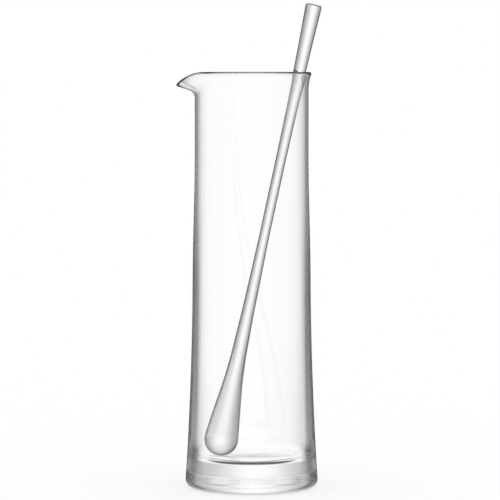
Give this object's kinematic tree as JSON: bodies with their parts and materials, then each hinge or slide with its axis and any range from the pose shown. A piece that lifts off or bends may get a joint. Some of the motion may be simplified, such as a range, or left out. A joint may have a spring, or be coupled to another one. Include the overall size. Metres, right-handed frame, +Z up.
{
  "type": "cocktail pitcher",
  "caption": "Tall clear glass cocktail pitcher with a thick base, a flared rim and a pulled pouring lip, holding a loose solid glass stirrer with a teardrop bulb.",
  "frame": {"origin": "centre of the flat foot, in the plane that the pitcher stands on", "axes": "+Z up along the pitcher's axis, the pouring lip points along -X, the stirrer leans towards +X"},
  "size_m": [0.097, 0.0894, 0.3258],
  "materials": {
    "pitcher_glass": "clear blown glass, fire-polished, with faint waves from blowing",
    "stirrer_glass": "clear solid glass rod, fire-polished"
  },
  "bodies": {
    "pitcher": {"pitcher": "pitcher_glass"},
    "stirrer": {"stirrer": "stirrer_glass"}
  },
  "joints": [
    {"name": "stirrer_lift", "type": "slide", "parent": "pitcher", "child": "stirrer", "axis": [0, 0, 1], "range_m": [0, 0.27]}
  ]
}
